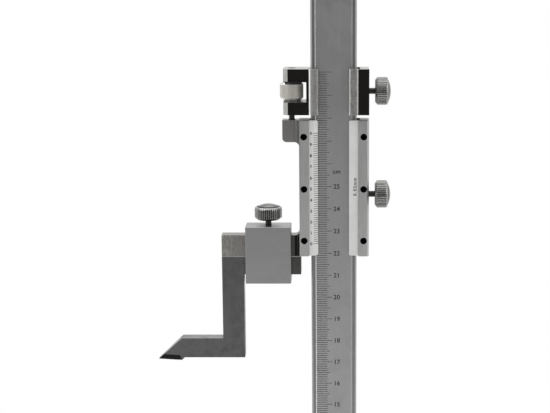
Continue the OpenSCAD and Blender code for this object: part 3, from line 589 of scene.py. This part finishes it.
def nut_paint(tree, base, dull):
    """The two turned chamfers and the rims of the band are polished and painted brighter, a painted highlight, and
    the knurled band is satin.
    """
    z = xyz_mm(tree)[2]
    height = calc(tree, "ABSOLUTE", calc(tree, "SUBTRACT", z, NUT_MID_Z))
    polished = ramp(tree, height, NUT_RIM - RIM_SOFT, NUT_RIM + RIM_SOFT)
    # Painted highlight: the polished chamfers and rims get a brighter colour
    colour = blend(tree, polished, base, POLISHED_HIGHLIGHT)
    return colour, calc(tree, "SUBTRACT", dull, calc(tree, "MULTIPLY", polished, NUT_SHINE))


finish(metal("nut_nickel", NUT_SATIN, rough=0.36, grain=(2, 2, 2), depth=0.001, streak=0.05, edge=1.1, hollow_shade=0.3,
             reach=1.0, metallic=0.8, paint=nut_paint), "adjusting_nut")

# %% [markdown]
# ## Carrier of the fine adjustment
#
# The block is blackened and then its front lips, chamfers and sides are ground bare, so only the flat front faces
# and the walls of the window stay black. The bare lips are a little stained, the left lip and the chamfers that face
# left have a painted highlight, and the slot of the gib and the place where the rod goes in have painted shade.

# %% Carrier
LIP_OUT = 10.6
LIP_IN = 6.6
LIP_BEVEL = 0.6
LIP_HIGHLIGHT_X = -8.6
CHAMFER_OUT = LIP_OUT + 1
STAIN_SCALE = 2.4
STAIN_CUT = (0.42, 0.64)
ROD_X = -18.3
ROD_Y = 1.0
SINK_R = (2.0, 1.9)
WINDOW_X = -12.5
WINDOW_Z = (340.9, 349.9)
CARRIER_TOP_Z = 355.0
CARRIER_SLOT_HALF_Y = 4.5
BLACK_DULL = 0.1
FACE_AHEAD = -0.9
CHAMFER_AHEAD = -0.3
CHAMFER_ACROSS = -0.2
SILL_UPWARD = 0.5
CARRIER_BARE = (0.45, 0.445, 0.43)
CARRIER_BLACK = (0.02, 0.019, 0.018)
SINK_SHADE = (0.1, 0.098, 0.095)
LIP_STAIN = (0.27, 0.265, 0.25)
LIP_HIGHLIGHT = (0.8, 0.795, 0.78)


def carrier_paint(tree, base, dull):
    """Blackened front faces and window between bare ground lips, chamfers and sides, with a painted highlight on the
    left lip and the chamfers that face left, and painted shade in the slot of the gib and round the rod's hole.
    """
    x, y, z = xyz_mm(tree)
    aside = calc(tree, "ABSOLUTE", x)
    across, ahead, upward = normal_xyz(tree)
    forward = calc(tree, "LESS_THAN", ahead, FACE_AHEAD)
    window = both(tree, calc(tree, "LESS_THAN", x, WINDOW_X), between(tree, z, *WINDOW_Z, soft=0.05),
                  calc(tree, "LESS_THAN", upward, SILL_UPWARD))
    face = both(tree, forward, calc(tree, "GREATER_THAN", aside, LIP_OUT))
    lip = both(tree, forward, between(tree, aside, LIP_IN + LIP_BEVEL, LIP_OUT - LIP_BEVEL))
    coordinates = add(tree, "TexCoord").outputs["Object"]
    stains = add(tree, "TexNoise", {"Vector": coordinates, "Scale": STAIN_SCALE / MM, "Detail": 5.0}).outputs[0]
    stained = both(tree, lip, ramp(tree, stains, *STAIN_CUT), ramp(tree, x, -LIP_OUT, -LIP_IN))
    # Painted highlight on the left lip, brightest at its outer edge
    lit_lip = both(tree, forward, ramp(tree, x, LIP_HIGHLIGHT_X, -LIP_OUT, at_high=0.9))
    colour = blend(tree, lit_lip, base, LIP_HIGHLIGHT)
    colour = blend(tree, stained, colour, LIP_STAIN)
    # Painted highlight on the chamfers that face left
    chamfer = both(tree, calc(tree, "LESS_THAN", ahead, CHAMFER_AHEAD),
                   calc(tree, "LESS_THAN", across, CHAMFER_ACROSS), calc(tree, "LESS_THAN", aside, CHAMFER_OUT))
    colour = blend(tree, chamfer, colour, LIP_HIGHLIGHT)
    colour = blend(tree, calc(tree, "MAXIMUM", face, window), colour, CARRIER_BLACK)
    aside_rod, behind_rod = calc(tree, "SUBTRACT", x, ROD_X), calc(tree, "SUBTRACT", y, ROD_Y)
    squared = calc(tree, "ADD", both(tree, aside_rod, aside_rod), both(tree, behind_rod, behind_rod))
    round_rod = ramp(tree, calc(tree, "SQRT", squared), *SINK_R)
    sink = both(tree, calc(tree, "GREATER_THAN", z, CARRIER_TOP_Z), round_rod)
    slot = gib_slot(tree, x, y, CARRIER_SLOT_HALF_Y)
    # Painted shade round the rod's hole and in the slot of the gib
    colour = blend(tree, sink, colour, SINK_SHADE)
    colour = blend(tree, slot, colour, SHADE_BLACK)
    matt = calc(tree, "MULTIPLY", calc(tree, "MAXIMUM", slot, sink), SHADE_ROUGH)
    return colour, calc(tree, "MAXIMUM", calc(tree, "ADD", dull, calc(tree, "MULTIPLY", face, BLACK_DULL)), matt)


finish(metal("carrier_black", CARRIER_BARE, rough=0.33, grain=(2.5, 2.5, 0.6), streak=0.2, paint=carrier_paint),
       "carrier_body")

# %% [markdown]
# ## Scriber and its clamp box
#
# The clamp box is satin chromed. The scriber is hardened tool steel, ground all over and dark with oil, and its
# point has a strip of carbide, almost black, brazed into the underside.

# %% Scriber and clamp box
BOX_GREY = (0.325, 0.33, 0.325)
BAR_SHADE_X = BOX_RIGHT - 1
BAR_SHADE_Z = (274.0, 266.0)
UPWARD = (0.6, 0.9)
SCRIBER_GREY = (0.13, 0.126, 0.127)
SCRIBER_SHADE = (0.082, 0.082, 0.077)
SCRIBER_TOP_HIGHLIGHT = (0.25, 0.245, 0.24)
CARBIDE_BLACK = (0.02, 0.02, 0.021)

finish(metal("box_steel", BOX_GREY, rough=0.34, grain=(0.3, 3, 3), streak=0.06), "scriber_clamp_box")


def scriber_paint(tree, base, dull):
    """The faces that look up get a painted highlight, and the bar has painted shade beside the clamp box, darkest at
    its top.
    """
    upward = ramp(tree, normal_xyz(tree)[2], *UPWARD)
    x, _, z = xyz_mm(tree)
    beside = calc(tree, "GREATER_THAN", x, BAR_SHADE_X)
    # Painted shade on the bar beside the clamp box, and a painted highlight on the faces that look up
    box_side_shade = both(tree, beside, ramp(tree, z, *BAR_SHADE_Z, at_low=1.0, at_high=0.75))
    colour = blend(tree, box_side_shade, base, SCRIBER_SHADE)
    return blend(tree, upward, colour, SCRIBER_TOP_HIGHLIGHT), dull


finish(metal("scriber_steel", SCRIBER_GREY, rough=0.28, grain=(3, 3, 0.2), streak=0.1, edge=1.0, smudge=0.12,
             marks=4.0, hollow_shade=0.75, reach=6.0, paint=scriber_paint), "scriber")
finish(metal("carbide", CARBIDE_BLACK, rough=0.3, grain=(2, 2, 2)), "carbide_tip")

# %% [markdown]
# ## Base
#
# The base is cast iron. Its sides have hammered enamel, whose small dimples hide the rough casting, and the sole
# and the raised pad round the beam are ground bare.

# %% Base
PAD_TOP = 33.4
SOLE_TOP = 0.3
IRON = (0.34, 0.335, 0.33)
IRON_STREAK = (0.42, 0.415, 0.41)
ENAMEL = (0.04, 0.043, 0.047)
ENAMEL_HIGH = (0.075, 0.08, 0.086)
DIMPLE = 1.9
DIMPLE_DEPTH = 0.17
DIMPLE_CUT = (0.1, 0.75)
SWAY = 2
SWAY_SCALE = 0.4
FLAT = (0.9, 0.98)
HANDLED = 0.25
BASE_HOLLOW_SHADE = 0.6


def base_enamel():
    """Hammered grey enamel, with bare ground iron on the sole and on the pad."""
    material = bpy.data.materials.new("base_enamel")
    material.use_nodes = True
    tree = material.node_tree
    shader = tree.nodes["Principled BSDF"]
    shader.inputs["Coat Roughness"].default_value = 0.12
    z = xyz_mm(tree)[2]
    upright = calc(tree, "ABSOLUTE", normal_xyz(tree)[2])
    ends = calc(tree, "MAXIMUM", calc(tree, "GREATER_THAN", z, PAD_TOP), calc(tree, "LESS_THAN", z, SOLE_TOP))
    bare = both(tree, ends, ramp(tree, upright, *FLAT))
    coordinates = add(tree, "TexCoord").outputs["Object"]
    drift = add(tree, "TexNoise", {"Vector": coordinates, "Scale": SWAY_SCALE / MM, "Detail": 2.0}).outputs["Color"]
    shifted = add(tree, "VectorMath", {0: drift, "Scale": SWAY * MM}, operation="SCALE").outputs[0]
    shifted = add(tree, "VectorMath", {0: coordinates, 1: shifted}).outputs[0]
    cells = add(tree, "TexVoronoi", {"Vector": shifted, "Scale": 1 / (DIMPLE * MM)}, feature="SMOOTH_F1").outputs[0]
    dimples = ramp(tree, cells, *DIMPLE_CUT)
    streaks = use_group(tree, GRAIN, Stretch=(0.15, 3, 3))
    handled = use_group(tree, MARKS, Size=18.0)
    occluded = use_group(tree, OCCLUSION_SHADE, Reach=4 * MM)
    enamel = blend(tree, dimples, ENAMEL, ENAMEL_HIGH)
    enamel = blend(tree, calc(tree, "MULTIPLY", handled["Smudge"], HANDLED), enamel, ENAMEL_HIGH)
    ground = blend(tree, streaks["Streaks"], IRON, IRON_STREAK)
    colour = blend(tree, bare, enamel, ground)
    # Painted shade: darker in the corners and recesses of the base
    colour = blend(tree, calc(tree, "MULTIPLY", occluded["Recess"], BASE_HOLLOW_SHADE), colour, SHADE_BLACK)
    tree.links.new(colour, shader.inputs["Base Color"])
    tree.links.new(bare, shader.inputs["Metallic"])
    tree.links.new(ramp(tree, bare, 0, 1, at_low=0.34, at_high=0.45), shader.inputs["Roughness"])
    tree.links.new(ramp(tree, bare, 0, 1, at_low=0.35, at_high=0), shader.inputs["Coat Weight"])
    height = calc(tree, "MULTIPLY", dimples, ramp(tree, bare, 0, 1, at_low=1, at_high=0))
    hammered = add(tree, "Bump", {"Height": height, "Distance": DIMPLE_DEPTH * MM})
    tree.links.new(hammered.outputs[0], shader.inputs["Normal"])
    return material


finish(base_enamel(), "base_casting")

# %% [markdown]
# ## Screw threads
#
# The adjusting rod and the three clamp screws are plain cylinders in the model, because a thread of 0.5 mm pitch is
# too fine for a construction that also has to be checked. Here each gets a real thread: a V-shaped line of one
# pitch is wound up by the Screw modifier, its turns are welded to each other, and both ends are cut flat.

# %% Threads
PITCH = 0.5
THREAD_DEPTH = 0.26
TURN_STEPS = 20
SPARE_TURNS = 3
WELD = 0.005
THREAD_SHADE_GREY = (0.042, 0.041, 0.039)


def corners_mm(piece):
    """The lowest and the highest corner of a piece's own mesh in millimetres, to print."""
    places = [vertex.co / MM for vertex in piece.data.vertices]
    return [[round(pick(place[i] for place in places), 2) for i in range(3)] for pick in (min, max)]


def threaded_rod(name, node, body, axis):
    """Threaded rod in the place of a plain cylinder of the model, along the X or Z axis."""
    low, high = (Vector(corner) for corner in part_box(node))
    along = 0 if axis == "X" else 2
    length = high[along] - low[along]
    radius = (high[1] - low[1]) / 2
    bpy.ops.object.select_all(action="DESELECT")
    bpy.ops.mesh.primitive_circle_add(vertices=4, radius=PITCH / 2 * MM)
    rod = bpy.context.object
    rod.name = name
    bpy.ops.object.mode_set(mode="EDIT")
    bpy.ops.mesh.select_all(action="SELECT")
    bpy.ops.transform.rotate(value=math.pi / 2, orient_axis="X", center_override=(0, 0, 0))
    bpy.ops.mesh.select_all(action="DESELECT")
    bpy.ops.object.mode_set(mode="OBJECT")
    inner = min(rod.data.vertices, key=lambda vertex: vertex.co.x)
    inner.select = True
    bpy.ops.object.mode_set(mode="EDIT")
    bpy.ops.mesh.delete(type="VERT")
    bpy.ops.mesh.select_all(action="SELECT")
    bpy.ops.transform.resize(value=(THREAD_DEPTH / (PITCH / 2), 1, 1), center_override=(0, 0, 0))
    bpy.ops.transform.translate(value=(radius - THREAD_DEPTH * MM, 0, 0))
    bpy.ops.object.mode_set(mode="OBJECT")
    wound = rod.modifiers.new("thread", "SCREW")
    wound.axis = "Z"
    wound.angle = math.tau
    wound.steps = wound.render_steps = TURN_STEPS
    wound.screw_offset = PITCH * MM
    wound.iterations = math.ceil(length / (PITCH * MM)) + SPARE_TURNS
    bpy.ops.object.modifier_apply(modifier="thread")
    bpy.ops.object.mode_set(mode="EDIT")
    bpy.ops.mesh.select_all(action="SELECT")
    bpy.ops.mesh.remove_doubles(threshold=WELD * MM)
    start = 1.5 * PITCH * MM
    for height, side in ((start, {"clear_inner": True}), (start + length, {"clear_outer": True})):
        bpy.ops.mesh.select_all(action="SELECT")
        bpy.ops.mesh.bisect(plane_co=(0, 0, height), plane_no=(0, 0, 1), use_fill=True, **side)
    bpy.ops.mesh.select_all(action="SELECT")
    bpy.ops.transform.translate(value=(0, 0, -start))
    if axis == "X":
        bpy.ops.transform.rotate(value=-math.pi / 2, orient_axis="Y", center_override=(0, 0, 0))
    middle = (low + high) / 2
    middle[along] = low[along]
    bpy.ops.transform.translate(value=middle)
    bpy.ops.mesh.normals_make_consistent(inside=False)
    bpy.ops.object.mode_set(mode="OBJECT")
    print(name, *corners_mm(rod), len(rod.data.polygons), "faces")
    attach(rod, body)
    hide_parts(node)
    return rod


rods = [threaded_rod("adjusting_thread", "adjusting_rod", "slider", "Z"),
        threaded_rod("slider_screw_thread", "slider_clamp_stud", "slider_screw", "X"),
        threaded_rod("carrier_screw_thread", "carrier_clamp_stud", "carrier_screw", "X"),
        threaded_rod("box_screw_thread", "box_clamp_stud", "box_screw", "Z")]

# %% Finish of the threads
# Painted shade: the threads are coloured almost black and darkened further in their grooves
thread_steel = metal("thread_steel", THREAD_SHADE_GREY, rough=0.3, grain=(1, 1, 1), edge=2.5, hollow_shade=0.95, reach=0.7)
for rod in rods:
    rod.data.materials.append(thread_steel)
finish(thread_steel, "adjusting_rod", "slider_clamp_stud", "carrier_clamp_stud", "box_clamp_stud")

# %% [markdown]
# ## Numerals
#
# The numbers are engraved beside their lines and filled with the same black paint. They are made as text with
# strokes a little bolder than the font's, turned into a mesh, stood upright against the face and sunk into it to
# half their thickness.

# %% Numerals
SCALE_ZERO_Z = 53.71
VERNIER_ZERO_Z = 278.31
VERNIER_STEP = 4.9
LAST_CM = 25
VERNIER_PARTS = 10
SCALE_TEXT_H = 2.1
SCALE_TEXT_X = 1.24
SCALE_UNIT_H = 2.0
SCALE_UNIT_X = 1.3
SCALE_UNIT_Z = SCALE_ZERO_Z + 256.3
VERNIER_TEXT_H = 1.3
VERNIER_TEXT_X = -9.95
VERNIER_UNIT_H = 1.45
VERNIER_UNIT_X = 9.24
VERNIER_UNIT_Z = 303.8
DIGIT_T = 0.03
DIGIT_WELD = 0.002
CAPITAL_SHARE = 0.73


def engraved(text, height, x, y, z, stroke, spacing=1.0, turned=0.0):
    """Flat text whose digits and capitals have the given height, centred on x and z, standing in the plane y and
    facing the reader. stroke is how much bolder than the font it is, as a share of the height, spacing how far apart
    its letters are, and turned its angle."""
    bpy.ops.object.text_add()
    letter = bpy.context.object
    letter.data.body = text
    letter.data.align_x = "CENTER"
    letter.data.align_y = "CENTER"
    letter.data.size = height * MM / CAPITAL_SHARE
    letter.data.extrude = DIGIT_T / 2 * MM
    letter.data.offset = stroke * height * MM
    letter.data.space_character = spacing
    letter.data.resolution_u = 3
    bpy.ops.object.convert(target="MESH")
    letter = bpy.context.object
    heights = [vertex.co.y for vertex in letter.data.vertices]
    bpy.ops.object.mode_set(mode="EDIT")
    bpy.ops.mesh.select_all(action="SELECT")
    bpy.ops.transform.translate(value=(0, -(min(heights) + max(heights)) / 2, 0))
    bpy.ops.transform.rotate(value=-turned, orient_axis="Z", center_override=(0, 0, 0))
    bpy.ops.transform.rotate(value=-math.pi / 2, orient_axis="X", center_override=(0, 0, 0))
    bpy.ops.transform.translate(value=(x * MM, y * MM, z * MM))
    bpy.ops.mesh.remove_doubles(threshold=DIGIT_WELD * MM)
    bpy.ops.mesh.normals_make_consistent(inside=False)
    bpy.ops.object.mode_set(mode="OBJECT")
    return letter


def join_as(name, letters, body):
    """Joins numerals into one piece that rides on a body."""
    bpy.ops.object.select_all(action="DESELECT")
    for letter in letters:
        letter.select_set(True)
    bpy.context.view_layer.objects.active = letters[0]
    bpy.ops.object.join()
    piece = bpy.context.object
    piece.name = name
    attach(piece, body)
    print(name, *corners_mm(piece), len(piece.data.polygons), "faces")
    return piece


scale_letters = [engraved(str(cm), SCALE_TEXT_H, SCALE_TEXT_X, SCALE_FACE_Y, SCALE_ZERO_Z + 10 * cm, stroke=0.024)
                 for cm in range(LAST_CM + 1)]
scale_letters.append(engraved("cm", SCALE_UNIT_H, SCALE_UNIT_X, SCALE_FACE_Y, SCALE_UNIT_Z, stroke=0.03,
                              spacing=1.08))
scale_numerals = join_as("scale_numerals", scale_letters, "base")
vernier_letters = [engraved(str(i % VERNIER_PARTS), VERNIER_TEXT_H, VERNIER_TEXT_X, PLATE_Y,
                            VERNIER_ZERO_Z + VERNIER_STEP * i, stroke=0.045) for i in range(VERNIER_PARTS + 1)]
vernier_letters.append(engraved("0.02mm", VERNIER_UNIT_H, VERNIER_UNIT_X, PLATE_Y, VERNIER_UNIT_Z, stroke=0.04,
                                spacing=1.3, turned=math.pi / 2))
vernier_numerals = join_as("vernier_numerals", vernier_letters, "slider")

# %% Paint of the numerals
numeral_paint = metal("numeral_paint", PAINT_BLACK, PAINT_ROUGH, grain=(2, 2, 2), streak=0.3, metallic=0.0)
for piece in (scale_numerals, vernier_numerals):
    piece.data.materials.append(numeral_paint)
    print(piece.name, "painted")
